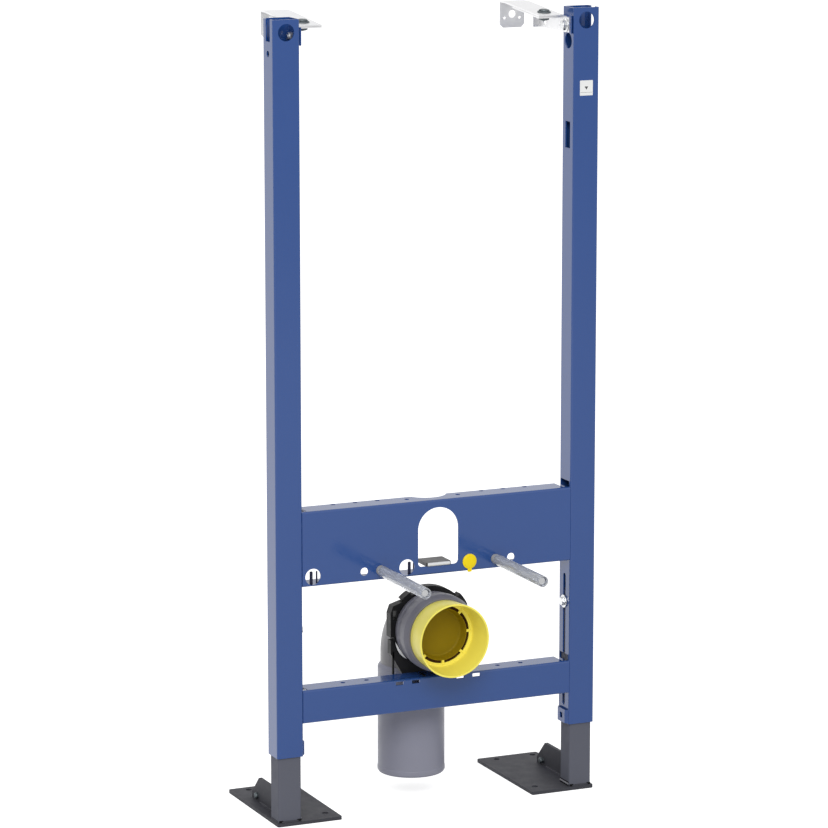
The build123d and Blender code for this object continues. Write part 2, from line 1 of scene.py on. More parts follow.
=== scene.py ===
import bpy
import bmesh
import numpy as np
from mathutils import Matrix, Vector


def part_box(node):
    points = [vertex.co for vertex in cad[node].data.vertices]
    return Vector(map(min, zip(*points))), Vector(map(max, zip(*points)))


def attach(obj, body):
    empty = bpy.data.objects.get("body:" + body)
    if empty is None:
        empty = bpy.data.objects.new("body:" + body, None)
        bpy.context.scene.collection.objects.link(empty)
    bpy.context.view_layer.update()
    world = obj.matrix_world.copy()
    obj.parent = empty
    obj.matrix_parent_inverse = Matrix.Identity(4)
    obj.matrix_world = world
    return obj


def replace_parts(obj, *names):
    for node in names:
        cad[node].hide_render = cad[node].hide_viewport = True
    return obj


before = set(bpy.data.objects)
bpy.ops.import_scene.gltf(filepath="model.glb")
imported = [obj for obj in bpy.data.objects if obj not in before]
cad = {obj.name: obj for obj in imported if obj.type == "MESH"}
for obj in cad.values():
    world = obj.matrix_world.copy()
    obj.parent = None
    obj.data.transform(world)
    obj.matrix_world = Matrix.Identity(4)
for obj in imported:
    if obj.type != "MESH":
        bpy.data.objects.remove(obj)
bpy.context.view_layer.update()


# Studio and camera
# A wide pale floor under an even white sky, with one large soft lamp high in front on the left. The
# floor is lifted to white for the camera, as a lit backdrop is, and gloss sees a lift behind the object.
# The camera stands where the photograph was taken, so the two pictures lie over each other.
def shader_node(tree, kind, values=(), operation=None):
    """A new node of a shader tree. The values go to its sockets by their names or numbers."""
    node = tree.nodes.new("ShaderNode" + kind)
    if operation:
        node.operation = operation
    for socket, value in dict(values).items():
        node.inputs[socket].default_value = value
    return node


def wire(tree, *links):
    """Joins nodes of a shader tree. Each link is a node, its output, the next node and its input."""
    for source, output, target, socket in links:
        tree.links.new(source.outputs[output], target.inputs[socket])


floor_left, floor_right, floor_near, floor_far = -60, 60, -30, 90  # metres
floor_tone, camera_lift, gloss_lift = 0.86, 0.70, 0.80  # of a white that is 1
gloss_near, gloss_far = -0.3, 0.4  # metres, where the lift that gloss sees starts and is full

floor_mesh = bpy.data.meshes.new("floor")
floor_corners = [
    (floor_left, floor_near, 0), (floor_right, floor_near, 0),
    (floor_right, floor_far, 0), (floor_left, floor_far, 0),
]
floor_mesh.from_pydata(floor_corners, [], [(0, 1, 2, 3)])
floor = bpy.data.objects.new("floor", floor_mesh)
bpy.context.scene.collection.objects.link(floor)

floor_paint = bpy.data.materials.new("floor_paint")
floor_paint.use_nodes = True
floor_tree = floor_paint.node_tree
floor_tree.nodes.clear()
floor_matt = shader_node(floor_tree, "BsdfDiffuse", {"Color": (floor_tone, floor_tone, floor_tone, 1)})
floor_place = shader_node(floor_tree, "TexCoord")
floor_split = shader_node(floor_tree, "SeparateXYZ")
floor_seen = shader_node(floor_tree, "LightPath")
floor_ramp = shader_node(
    floor_tree, "MapRange", {"From Min": gloss_near, "From Max": gloss_far, "To Max": gloss_lift})
floor_ramp.interpolation_type = "SMOOTHSTEP"
floor_direct = shader_node(floor_tree, "Math", operation="ADD")
floor_gloss = shader_node(floor_tree, "Math", operation="MULTIPLY")
floor_lift = shader_node(floor_tree, "Math", {1: camera_lift}, "MULTIPLY_ADD")
floor_glow = shader_node(floor_tree, "Emission")
floor_sum = shader_node(floor_tree, "AddShader")
floor_out = shader_node(floor_tree, "OutputMaterial")
wire(
    floor_tree,
    (floor_place, "Object", floor_split, 0),
    (floor_split, "Y", floor_ramp, "Value"),
    (floor_seen, "Is Camera Ray", floor_direct, 0),
    (floor_seen, "Is Transmission Ray", floor_direct, 1),
    (floor_seen, "Is Glossy Ray", floor_gloss, 0),
    (floor_ramp, "Result", floor_gloss, 1),
    (floor_direct, 0, floor_lift, 0),
    (floor_gloss, 0, floor_lift, 2),
    (floor_lift, 0, floor_glow, "Strength"),
    (floor_matt, 0, floor_sum, 0),
    (floor_glow, 0, floor_sum, 1),
    (floor_sum, 0, floor_out, "Surface"),
)
floor_mesh.materials.append(floor_paint)

sky_strength, sky_diffuse_loss = 1.0, 0.38
sky = bpy.data.worlds.new("sky")
bpy.context.scene.world = sky
sky.use_nodes = True
sky_tree = sky.node_tree
sky_tree.nodes.clear()
sky_light = shader_node(sky_tree, "Background", {"Color": (1, 1, 1, 1)})
sky_seen = shader_node(sky_tree, "LightPath")
sky_level = shader_node(sky_tree, "Math", {1: -sky_diffuse_loss, 2: sky_strength}, "MULTIPLY_ADD")
sky_out = shader_node(sky_tree, "OutputWorld")
wire(
    sky_tree,
    (sky_seen, "Is Diffuse Ray", sky_level, 0),
    (sky_level, 0, sky_light, "Strength"),
    (sky_light, 0, sky_out, "Surface"),
)

key_data = bpy.data.lights.new("key", "AREA")
key_data.shape = "DISK"
key_data.size = 2.6
key_data.energy = 125
key = bpy.data.objects.new("key", key_data)
key.location = (-1.8, -4.2, 3.6)
key.rotation_euler = (0.98, 0.0, -0.40)
bpy.context.scene.collection.objects.link(key)

photo_width, focal_pixels = 828, 4004.05
camera_dip, camera_turn = 0.191102, -0.419182
camera_data = bpy.data.cameras.new("camera")
camera_data.sensor_width = 36
camera_data.lens = focal_pixels * camera_data.sensor_width / photo_width
camera_data.shift_x = -0.0009
camera_data.shift_y = 0.0013
camera_data.clip_end = 200
camera = bpy.data.objects.new("camera", camera_data)
camera.location = (-2.303326, -5.103551, 1.658117)
camera.rotation_euler = (np.pi / 2 - camera_dip, 0, camera_turn)
bpy.context.scene.collection.objects.link(camera)
bpy.context.scene.camera = camera
bpy.context.scene.view_settings.view_transform = "Standard"


# Posts and louvres
# Cold-rolled rectangular steel tube with punched holes and slots, and with louvres pressed out of its
# inner wall. The blue powder coat has the fine orange peel of baked powder and a faint cloudiness.
per_metre = 1000.0  # millimetres in a metre


def cloud_group():
    """A group that gives a fine grain, a broad cloud and a fine mottle, each noise in object space. Grain
    and cloud take their sizes in millimetres."""
    group = bpy.data.node_groups.new("surface_cloud", "ShaderNodeTree")
    for name, size in (("Grain Size", 1.0), ("Cloud Size", 120.0)):
        socket = group.interface.new_socket(name, in_out="INPUT", socket_type="NodeSocketFloat")
        socket.default_value = size
    for name in ("Grain", "Cloud", "Mottle"):
        group.interface.new_socket(name, in_out="OUTPUT", socket_type="NodeSocketFloat")
    start = group.nodes.new("NodeGroupInput")
    end = group.nodes.new("NodeGroupOutput")
    place = shader_node(group, "TexCoord")
    for name, output, detail in (("Grain Size", "Grain", 2), ("Cloud Size", "Cloud", 3)):
        scale = shader_node(group, "Math", {0: per_metre}, "DIVIDE")
        noise = shader_node(group, "TexNoise", {"Detail": detail})
        wire(
            group,
            (start, name, scale, 1),
            (scale, 0, noise, "Scale"),
            (place, "Object", noise, "Vector"),
            (noise, "Fac", end, output),
        )
    mottle = shader_node(group, "TexNoise", {"Scale": 55, "Detail": 6, "Roughness": 0.7})
    wire(group, (place, "Object", mottle, "Vector"), (mottle, "Fac", end, "Mottle"))
    return group


surface_cloud = cloud_group()
mix_a, mix_b, mix_colour = 6, 7, 2  # where a Mix node has its two colours, and its mixed one


def finish_of(name, dark, light, rough, grain=1.0, cloud=120.0, bump=0.03, metal=0.0, ior=1.5):
    """A satin finish: its colour drifts between two tones with the cloud, its roughness with the mottle,
    and its grain stands up as a bump of the given height in millimetres."""
    material = bpy.data.materials.new(name)
    material.use_nodes = True
    tree = material.node_tree
    shader = tree.nodes["Principled BSDF"]
    shader.inputs["Metallic"].default_value = metal
    shader.inputs["IOR"].default_value = ior
    field = shader_node(tree, "Group")
    field.node_tree = surface_cloud
    field.inputs["Grain Size"].default_value = grain
    field.inputs["Cloud Size"].default_value = cloud
    tone = shader_node(tree, "Mix")
    tone.data_type = "RGBA"
    tone.inputs[mix_a].default_value = (*dark, 1)
    tone.inputs[mix_b].default_value = (*light, 1)
    sheen = shader_node(
        tree, "MapRange", {"From Min": 0.3, "From Max": 0.7, "To Min": rough[0], "To Max": rough[1]})
    relief = shader_node(tree, "Bump", {"Strength": 0.6, "Distance": bump / per_metre})
    wire(
        tree,
        (field, "Cloud", tone, 0),
        (tone, mix_colour, shader, "Base Color"),
        (field, "Mottle", sheen, "Value"),
        (sheen, "Result", shader, "Roughness"),
        (field, "Grain", relief, "Height"),
        (relief, "Normal", shader, "Normal"),
    )
    return material


def dress(material, *names):
    """Gives CAD nodes a finish in place of the one they came with."""
    for name in names:
        cad[name].data.materials.clear()
        cad[name].data.materials.append(material)


blue_coat = finish_of("blue_coat", (0.0185, 0.067, 0.250), (0.0225, 0.075, 0.273), rough=(0.10, 0.16),
                      grain=1.1, cloud=160, bump=0.02, ior=1.62)
dress(blue_coat, "left_post", "right_post", "left_post_louvre", "right_post_louvre")


# Cross members and their weld seams
# Folded sheet channels welded between the posts, in the same powder coat. The seams lie deep in the
# grooves beside the posts' rounded corners, so each groove keeps its dark line over a rippled bead.
dress(blue_coat, "upper_cross_member", "lower_cross_member")

post_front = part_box("left_post")[0][1]
sides = {"right": 1, "left": -1}
same_point, sliver, crease = 2e-6, 1e-6, 0.6  # metres, metres and radians


def box_mm(node):
    """A CAD node's lowest and highest corner in millimetres, with the posts' fronts at Y = 0. They are
    rounded to a tenth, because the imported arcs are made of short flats."""
    return np.round((np.array(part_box(node)) - (0, post_front, 0)) * per_metre, 1)


def skin(name, body, slot, material, *grids):
    """One closed piece from grids of points in millimetres, with the posts' fronts at Y = 0. Each cell of
    a grid is a quad; points that meet are merged, and the faces then all turn outwards."""
    points = np.concatenate([grid.reshape(-1, 3) for grid in grids]) / per_metre + (0, post_front, 0)
    quads, first = [], 0
    for grid in grids:
        index = first + np.arange(grid.shape[0] * grid.shape[1]).reshape(grid.shape[:2])
        cells = (index[:-1, :-1], index[1:, :-1], index[1:, 1:], index[:-1, 1:])
        quads.append(np.stack(cells, axis=-1).reshape(-1, 4))
        first += index.size
    mesh = bpy.data.meshes.new(name)
    mesh.from_pydata(points.tolist(), [], np.concatenate(quads).tolist())
    joined = bmesh.new()
    joined.from_mesh(mesh)
    bmesh.ops.remove_doubles(joined, verts=joined.verts, dist=same_point)
    bmesh.ops.dissolve_degenerate(joined, dist=sliver, edges=joined.edges)
    bmesh.ops.recalc_face_normals(joined, faces=joined.faces)
    joined.to_mesh(mesh)
    joined.free()
    mesh.shade_smooth()
    mesh.set_sharp_from_angle(angle=crease)
    mesh.materials.append(material)
    piece = bpy.data.objects.new(name, mesh)
    bpy.context.scene.collection.objects.link(piece)
    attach(piece, body)
    return piece


def turned(profile, steps=64, flats=0.0):
    """A surface of revolution about local Z: every (radius, height) of the profile goes once round. Where
    flats is given, the radius is cut back to a hexagon of that width across its flats."""
    profile = np.asarray(profile, float)
    angle = np.linspace(0, 2 * np.pi, steps + 1)
    radius = profile[:, :1] * np.ones(steps + 1)
    if flats:
        radius = np.minimum(radius, flats / 2 / np.cos(angle % (np.pi / 3) - np.pi / 6))
    height = profile[:, 1:] * np.ones(steps + 1)
    return np.stack([radius * np.cos(angle), radius * np.sin(angle), height], axis=-1)


def placed(grid, origin, axis):
    """Turns local Z towards the axis and moves the grid to the origin: x e1 + y e2 + z axis + origin."""
    axis = np.asarray(axis, float) / np.linalg.norm(axis)
    level = np.array([0.0, 0.0, 1.0]) if abs(axis[2]) < 0.9 else np.array([1.0, 0.0, 0.0])
    across = np.cross(level, axis)
    across /= np.linalg.norm(across)
    return grid @ np.array([across, np.cross(axis, across), axis]) + origin


def both_sides(*grids):
    """Each side's name, with the grids made for the right side or their mirror images for the left."""
    return [(side, [grid * (sign, 1, 1) for grid in grids]) for side, sign in sides.items()]


def bead(start, end, radius, ripple=2.2, drift=3.7, per_ripple=6):
    """A weld bead, closed at both ends: a thin rod from start to end whose radius swells and sinks by a
    tenth along it, by sin(2 pi along / ripple + sin(along / drift))."""
    start, end = np.array(start, float), np.array(end, float)
    length = np.linalg.norm(end - start)
    along = np.linspace(0, length, int(length / ripple * per_ripple) + 2)
    swell = radius * (1 + 0.1 * np.sin(2 * np.pi * along / ripple + np.sin(along / drift)))
    ends = np.clip(np.minimum(along, length - along) / radius, 0, 1)
    profile = np.stack([swell * np.sqrt(1 - (1 - ends) ** 2), along], axis=-1)
    return placed(turned(profile, steps=12), start, end - start)


seam_beside, seam_y, seam_r, seam_short = 0.4, 2.4, 1.1, 3.0
for level in ("upper", "lower"):
    low, high = box_mm(f"{level}_cross_member")
    seam_x = high[0] + seam_beside
    seam = bead((seam_x, seam_y, low[2] + seam_short), (seam_x, seam_y, high[2] - seam_short), seam_r)
    for side, grids in both_sides(seam):
        skin(f"{side}_{level}_weld", "frame", "blue_powder_coat", blue_coat, *grids)


# Legs and feet
# Nearly square steel tubes that slide in the posts, each welded to a foot plate with an upright bar
# behind it, and coated in dark grey. Weld beads run along the walls. The tube's corners and the foot of
# its inner wall stand open; their shade is painted as thin near-black patches on the tube. A bead crosses
# the opening under the inner wall, paler than the coat as a painted highlight along its edge.
grey_coat = finish_of("grey_coat", (0.112, 0.117, 0.144), (0.128, 0.133, 0.164), rough=(0.45, 0.60),
                      grain=0.9, cloud=90, bump=0.02, ior=1.15)
foot_coat = finish_of("foot_coat", (0.047, 0.048, 0.058), (0.058, 0.058, 0.069), rough=(0.50, 0.65),
                      grain=0.9, cloud=90, bump=0.02, ior=1.3)
dress(grey_coat, "left_leg", "right_leg")
dress(foot_coat, "left_foot_plate", "right_foot_plate", "left_foot_lug", "right_foot_lug")
# The inner bead is paler than the coat: its colour is a painted highlight along a lit edge.
bead_highlight = finish_of("bead_highlight", (0.15, 0.15, 0.17), (0.20, 0.20, 0.22), rough=(0.30, 0.45),
                      grain=0.9, cloud=12, bump=0.02, ior=1.5)
# Near-black paint for the painted shade of the tube's open corners and the opening under its wall.
gap_painted_shade = finish_of("gap_painted_shade", (0.006, 0.006, 0.007), (0.010, 0.010, 0.011), rough=(0.60, 0.75),
                     grain=0.9, cloud=12, bump=0.01, ior=1.2)

leg_low, leg_high = box_mm("right_leg")
bar_low, bar_high = box_mm("right_foot_lug")
plate_top = leg_low[2]
weld_open, weld_r, weld_ripple = 4.5, 2.2, 2.8
weld_x = leg_low[0] + weld_open, leg_high[0] - weld_open
weld_y = leg_low[1] + weld_open, leg_high[1] - weld_open
bar_weld_gap, bar_weld_end = 3.0, 110.0
bar_weld_y = leg_high[1] + bar_weld_gap, bar_weld_end
leg_welds = {
    "front": ((weld_x[0], leg_low[1]), (weld_x[1], leg_low[1])),
    "back": ((weld_x[0], leg_high[1]), (weld_x[1], leg_high[1])),
    "outer": ((leg_high[0], weld_y[0]), (leg_high[0], weld_y[1])),
    "bar_inner": ((bar_low[0], bar_weld_y[0]), (bar_low[0], bar_weld_y[1])),
    "bar_outer": ((bar_high[0], bar_weld_y[0]), (bar_high[0], bar_weld_y[1])),
}
for place, (start, end) in leg_welds.items():
    seam = bead((*start, plate_top), (*end, plate_top), weld_r, weld_ripple)
    for side, grids in both_sides(seam):
        skin(f"{side}_leg_weld_{place}", f"{side}_leg", "anthracite_coat", foot_coat, *grids)


def eased(corners, radius, steps=4):
    """Rounds the inner corners of an open line: each becomes a quadratic curve that starts and ends the
    given radius away from it, or halfway along a shorter side."""
    corners = np.asarray(corners, float)
    edge = np.diff(corners, axis=0)
    length = np.linalg.norm(edge, axis=1, keepdims=True)
    unit = edge / length
    reach = np.minimum(radius, np.minimum(length[:-1], length[1:]) / 2)
    start, end = corners[1:-1] - unit[:-1] * reach, corners[1:-1] + unit[1:] * reach
    t = np.linspace(0, 1, steps)[:, None, None]
    curve = (1 - t) ** 2 * start + 2 * t * (1 - t) * corners[1:-1] + t ** 2 * end
    curve = curve.transpose(1, 0, 2).reshape(-1, corners.shape[1])
    return np.concatenate([corners[:1], curve, corners[-1:]])


def slab(outline, low, high, edge):
    """A flat piece from a closed outline in local XY: rounded over the edge at both faces, and closed at
    the outline's middle. Inward offsets follow the outline's normals."""
    outline = np.asarray(outline, float)
    way = np.roll(outline[:-1], -1, axis=0) - np.roll(outline[:-1], 1, axis=0)
    way /= np.linalg.norm(way, axis=1, keepdims=True)
    inward = np.stack([-way[:, 1], way[:, 0]], axis=-1)
    inward = np.concatenate([inward, inward[:1]])
    steps = eased([(3 * edge, low), (0, low), (0, high), (3 * edge, high)], edge)
    rim = outline[None] + inward[None] * steps[:, :1, None]
    rows = np.concatenate([rim, steps[:, 1:, None] * np.ones((1, len(outline), 1))], axis=-1)
    middle = np.broadcast_to(outline[:-1].mean(axis=0), outline.shape)
    floor_cap, top_cap = (
        np.concatenate([middle, np.full((len(outline), 1), level)], axis=-1)[None] for level in (low, high))
    return np.concatenate([floor_cap, rows, top_cap])


def rounded(width, height, corner):
    """A rectangle's outline with rounded corners, anticlockwise from the middle of its lower side."""
    w, h = width / 2, height / 2
    return eased([(0, -h), (w, -h), (w, h), (-w, h), (-w, -h), (0, -h)], corner, steps=6)


gap_proud, gap_edge = 0.25, 0.1
corner_wide, corner_high, corner_inset = 6.4, 3.2, 3.6
wall_short, wall_high = 3.0, 6.5
wall_wide = leg_high[1] - leg_low[1] - wall_short
# Thin patches on the tube's walls that carry the painted shade of the open corners and wall opening.
corner_shade_patch = slab(rounded(corner_wide, corner_high, corner=1.2), 0.0, gap_proud, gap_edge)
wall_shade_patch = slab(rounded(wall_wide, wall_high, corner=0.9), 0.0, gap_proud, gap_edge)
leg_shade_patches = [
    placed(corner_shade_patch, (x, y, plate_top + corner_high / 2), (0, way, 0))
    for y, way in ((leg_low[1], -1), (leg_high[1], 1))
    for x in (leg_low[0] + corner_inset, leg_high[0] - corner_inset)
]
wall_shade_patch_at = leg_low[0], (leg_low[1] + leg_high[1]) / 2, plate_top + wall_high / 2
leg_shade_patches.append(placed(wall_shade_patch, wall_shade_patch_at, (-1, 0, 0)))
inner_proud, inner_rise, inner_short, inner_r = 0.3, 3.4, 1.5, 1.4
inner_x, inner_z = leg_low[0] - inner_proud, plate_top + inner_rise
inner_y = leg_low[1] + inner_short, leg_high[1] - inner_short
inner_bead = bead((inner_x, inner_y[0], inner_z), (inner_x, inner_y[1], inner_z), inner_r)
for side, (*shade_patches, seam) in both_sides(*leg_shade_patches, inner_bead):
    skin(f"{side}_leg_shade_patches", f"{side}_leg", "anthracite_coat", gap_painted_shade, *shade_patches)
    skin(f"{side}_leg_weld_inner", f"{side}_leg", "anthracite_coat", bead_highlight, seam)


# Leg screws and the bolts of the foot bars
# Zinc-plated hexagon screws on round washers clamp the legs through the posts' slots. Heads are forged,
# so their corners are cut by a cone. The foot bars carry a short bolt with domed ends in dull steel.
zinc = finish_of("zinc", (0.60, 0.61, 0.62), (0.74, 0.75, 0.76), rough=(0.20, 0.36),
                 grain=1.6, cloud=14, bump=0.008, metal=1.0)
dull_steel = finish_of("dull_steel", (0.10, 0.12, 0.13), (0.16, 0.18, 0.19), rough=(0.42, 0.56),
                       grain=1.6, cloud=14, bump=0.006, metal=1.0)


def middle_of(node):
    """The middle of a CAD node's box in millimetres."""
    return box_mm(node).mean(axis=0)


def hexagon_head(flats, height, low=0.0, hole=0.0, edge=0.6):
    """A hexagon with both its faces chamfered by a cone, from low to low + height, round a hole if given."""
    corner, face, drop = flats / np.sqrt(3), flats * 0.475, flats * 0.05
    high = low + height
    outer = [(face, high), (corner, high - drop), (corner, low + drop), (face, low)]
    if not hole:
        return turned([(0, high), *outer, (0, low)], steps=72, flats=flats)
    bore = [(hole + edge, low), (hole, low + edge), (hole, high - edge), (hole + edge, high)]
    return turned([*bore, *outer, bore[0]], steps=72, flats=flats)


def washer(outer, hole, low, high):
    """A flat ring with softly rounded rims."""
    middle = (outer + hole) / 2
    loop = [(middle, low), (outer, low), (outer, high), (hole, high), (hole, low), (middle, low)]
    return turned(eased(loop, radius=0.35), steps=56)


def threaded(radius, low, high, pitch, depth, steps=24, per_turn=8):
    """A screw thread: radius - depth * triangle(height / pitch - angle / turn), tapered and closed at its
    ends."""
    height = np.linspace(low, high, int((high - low) / pitch * per_turn) + 2)[:, None]
    angle = np.linspace(0, 2 * np.pi, steps + 1)
    wave = np.abs((height / pitch - angle / (2 * np.pi)) % 1 * 2 - 1)
    edge = radius - 1.3 * depth + np.minimum(height - low, high - height)
    size = np.minimum(radius - depth * wave, edge)
    body = np.stack([size * np.cos(angle), size * np.sin(angle), height * np.ones(steps + 1)], axis=-1)
    return np.concatenate([body[:1] * (0, 0, 1), body, body[-1:] * (0, 0, 1)])


washer_high, head_high = 1.5, 4.0
screw_parts = (
    washer(outer=9.5, hole=3.4, low=0.0, high=washer_high),
    hexagon_head(flats=11.2, height=head_high, low=washer_high),
    threaded(radius=3.2, low=-6.5, high=1.6, pitch=1.0, depth=0.45),
)
screw_x = box_mm("right_leg_screw")[0][0] + head_high + washer_high
screw_yz = middle_of("right_leg_screw")[1:]
for side, sign in sides.items():
    head = [placed(part, (sign * screw_x, *screw_yz), (-sign, 0, 0)) for part in screw_parts]
    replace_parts(skin(f"{side}_clamp_screw", f"{side}_leg", "zinc_plate", zinc, *head), f"{side}_leg_screw")

dome = eased([(0, 7.0), (3.4, 6.9), (4.7, 5.6), (4.7, -7.6), (3.4, -8.9), (0, -9.0)], radius=1.2, steps=6)
bar_bolt = placed(turned(dome, steps=40), middle_of("right_lug_bolt"), (1, 0, 0))
for side, grids in both_sides(bar_bolt):
    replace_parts(skin(f"{side}_bar_bolt", f"{side}_leg", "zinc_plate", dull_steel, *grids), f"{side}_lug_bolt")


# Fixing studs, their nuts and sleeves
# Threaded rods of 12 mm screwed through the upper cross member, with a hexagon nut behind it. In front a
# clear plastic sleeve keeps mortar off the thread and carries the pan. A duller ring forms its foot.
clear_plastic = finish_of("clear_plastic", (0.66, 0.68, 0.73), (0.74, 0.76, 0.81), rough=(0.14, 0.22),
                          grain=1.5, cloud=60, bump=0.006, ior=1.42)
clear_shader = clear_plastic.node_tree.nodes["Principled BSDF"]
clear_shader.inputs["Transmission Weight"].default_value = 0.55
foot_ring = finish_of("foot_ring", (0.42, 0.40, 0.36), (0.50, 0.48, 0.44), rough=(0.28, 0.40),
                      grain=1.4, cloud=14, bump=0.006, ior=1.4)

forward = (0, -1, 0)
stud_x, _, stud_z = middle_of("right_stud")
stud_at = (stud_x, 0.0, stud_z)
foot_start, sleeve_start, sleeve_end = 0.1, 10.0, 158.0
sleeve_loop = eased([
    (7.3, sleeve_start), (8.0, sleeve_start), (8.0, sleeve_end), (6.7, sleeve_end), (6.7, sleeve_start),
    (7.3, sleeve_start),
], radius=0.3)
foot_loop = eased([
    (6.5, foot_start), (7.0, foot_start), (7.0, sleeve_start), (6.1, sleeve_start), (6.1, foot_start),
    (6.5, foot_start),
], radius=0.3)
stud_parts = (
    threaded(radius=6.0, low=-24.0, high=154.0, pitch=1.75, depth=0.95),
    hexagon_head(flats=19.0, height=10.0, low=-12.0, hole=5.4),
    turned(foot_loop, steps=48),
    turned(sleeve_loop, steps=48),
)
for side, (rod, nut, foot, tube) in both_sides(*[placed(part, stud_at, forward) for part in stud_parts]):
    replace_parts(skin(f"{side}_threaded_stud", "frame", "zinc_plate", zinc, rod), f"{side}_stud")
    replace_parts(skin(f"{side}_hexagon_nut", "frame", "zinc_plate", zinc, nut), f"{side}_stud_nut")
    skin(f"{side}_sleeve_foot", "frame", "clear_grey_plastic", foot_ring, foot)
    sleeve = skin(f"{side}_clear_sleeve", "frame", "clear_grey_plastic", clear_plastic, tube)
    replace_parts(sleeve, f"{side}_stud_sleeve")


# Drain bend with its lower socket and front collar
# Injection-moulded grey pipe fittings pushed into one another. The bend has a fine parting line
# along its middle, the socket a rounded lip, and the collar shallow grip ridges on its side.
bend_plastic = finish_of("bend_plastic", (0.160, 0.155, 0.166), (0.185, 0.179, 0.190), rough=(0.28, 0.40),
                         grain=1.4, cloud=70, bump=0.012, ior=1.45)
pipe_plastic = finish_of("pipe_plastic", (0.246, 0.249, 0.306), (0.278, 0.281, 0.344), rough=(0.30, 0.42),
                         grain=1.4, cloud=70, bump=0.012, ior=1.33)
collar_plastic = finish_of("collar_plastic", (0.150, 0.148, 0.176), (0.178, 0.176, 0.206), rough=(0.34, 0.46),
                           grain=1.4, cloud=70, bump=0.012, ior=1.4)

collar_front, collar_back = box_mm("bend_collar")[:, 1]
drain_z = middle_of("bend_collar")[2]
pipe_y = middle_of("bend_lower_socket")[1]
socket_top = box_mm("bend_lower_socket")[1][2]
pipe_r = box_mm("drain_bend")[1][0]
pipe_wall, elbow_r, seam_high = 3.5, 52.0, 0.3
# The bend's middle line runs back from the collar, through a quarter circle, and down into the socket.
turn = np.linspace(0, np.pi / 2, 33)
elbow_y = pipe_y - elbow_r + elbow_r * np.sin(turn)
elbow_z = drain_z - elbow_r + elbow_r * np.cos(turn)
bend_line = np.concatenate([
    [(collar_back, drain_z)],
    np.stack([elbow_y, elbow_z], axis=-1),
    [(pipe_y, socket_top)],
])
bend_way = np.gradient(bend_line, axis=0)
bend_way /= np.linalg.norm(bend_way, axis=1, keepdims=True)


def bend_wall(radius, seam=0.0, seam_narrow=0.0012, steps=96):
    """A pipe wall along the bend's line in the YZ plane: line + r cos(a) X + r sin(a) normal. The radius
    gains the seam's height in a narrow band on the upper and lower middle, as a mould's parting line."""
    angle = np.linspace(0, 2 * np.pi, steps + 1)
    r = radius + seam * np.exp(-((np.abs(np.sin(angle)) - 1) / seam_narrow) ** 2)
    across, rise = r * np.cos(angle), r * np.sin(angle)
    return np.stack([
        across * np.ones((len(bend_line), 1)),
        bend_line[:, :1] - rise * bend_way[:, 1:],
        bend_line[:, 1:] + rise * bend_way[:, :1],
    ], axis=-1)


outer_wall, inner_wall = bend_wall(pipe_r, seam_high), bend_wall(pipe_r - pipe_wall)
bend_loop = np.concatenate([outer_wall, inner_wall[::-1], outer_wall[:1]])
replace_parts(skin("bend_pipe", "frame", "grey_pipe_plastic", bend_plastic, bend_loop), "drain_bend")

socket_loop = eased([
    (48.0, 34.0), (49.6, 34.0), (49.6, 40.0), (49.0, 41.0), (49.0, 190.0),
    (45.1, socket_top), (41.6, socket_top), (41.6, 190.0), (45.5, 186.0),
    (45.5, 32.0), (48.4, 32.0), (48.4, 34.0), (48.0, 34.0),
], radius=1.2, steps=5)
lower_socket = placed(turned(socket_loop, steps=96), (0, pipe_y, 0), (0, 0, 1))
lower_socket = skin("lower_pipe_socket", "frame", "grey_pipe_plastic", pipe_plastic, lower_socket)
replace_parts(lower_socket, "bend_lower_socket")

collar_loop = eased([
    (48.0, 0.0), (54.2, 0.0), (54.2, 5.0), (55.0, 5.6), (55.0, 9.0), (54.2, 9.6), (54.2, 13.0), (55.0, 13.6),
    (55.0, 21.6), (57.0, 22.4), (57.0, 36.0), (53.0, 45.7), (49.3, 45.7), (49.3, 39.7),
    (47.0, 39.7), (47.0, 8.0), (41.6, 8.0), (41.6, 0.0), (48.0, 0.0),
], radius=0.7)
front_collar = placed(turned(collar_loop, steps=112), (0, collar_back, drain_z), forward)
front_collar = skin("front_collar", "frame", "grey_pipe_plastic", collar_plastic, front_collar)
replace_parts(front_collar, "bend_collar")


# Plug in the front collar
# A cup moulded in soft yellow plastic that is pulled out when the pan is fitted. Its bottom lies deep in
# the cup and is coloured dark olive as painted shade. A ring of slots with ribs between runs round it,
# and the slots' floor is a near-black brown ring of painted shade.
plug_yellow = finish_of("plug_yellow", (0.96, 0.84, 0.130), (0.98, 0.87, 0.145), rough=(0.28, 0.38),
                        grain=1.2, cloud=50, bump=0.01, ior=1.4)
# Dark olive paint for the painted shade on the cup's deep bottom.
plug_painted_shade = finish_of("plug_painted_shade", (0.235, 0.165, 0.004), (0.275, 0.195, 0.007), rough=(0.45, 0.60),
                       grain=1.2, cloud=40, bump=0.01, ior=1.2)
# Near-black brown paint for the painted shade at the floor of the slots.
slot_painted_shade = finish_of("slot_painted_shade", (0.035, 0.013, 0.003), (0.045, 0.018, 0.004), rough=(0.6, 0.7),
                       grain=1.2, cloud=40, bump=0.01, ior=1.2)

seal_gap = 0.3
plug_at = (0, collar_front - seal_gap, drain_z)
slot_inner, slot_outer, ledge, slot_floor, slot_back = 38.5, 42.5, -2.2, -4.4, -4.7
cup_loop = eased([
    (44.8, slot_back), (49.0, slot_back), (49.0, 0.0), (50.9, 0.0), (53.8, 41.6), (51.3, 41.6), (47.2, ledge),
    (slot_outer, ledge), (slot_outer, slot_back), (44.8, slot_back),
], radius=0.5)
plug_cup = placed(turned(cup_loop, steps=120), plug_at, forward)
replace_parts(skin("plug_cup", "frame", "yellow_plastic", plug_yellow, plug_cup), "drain_plug")

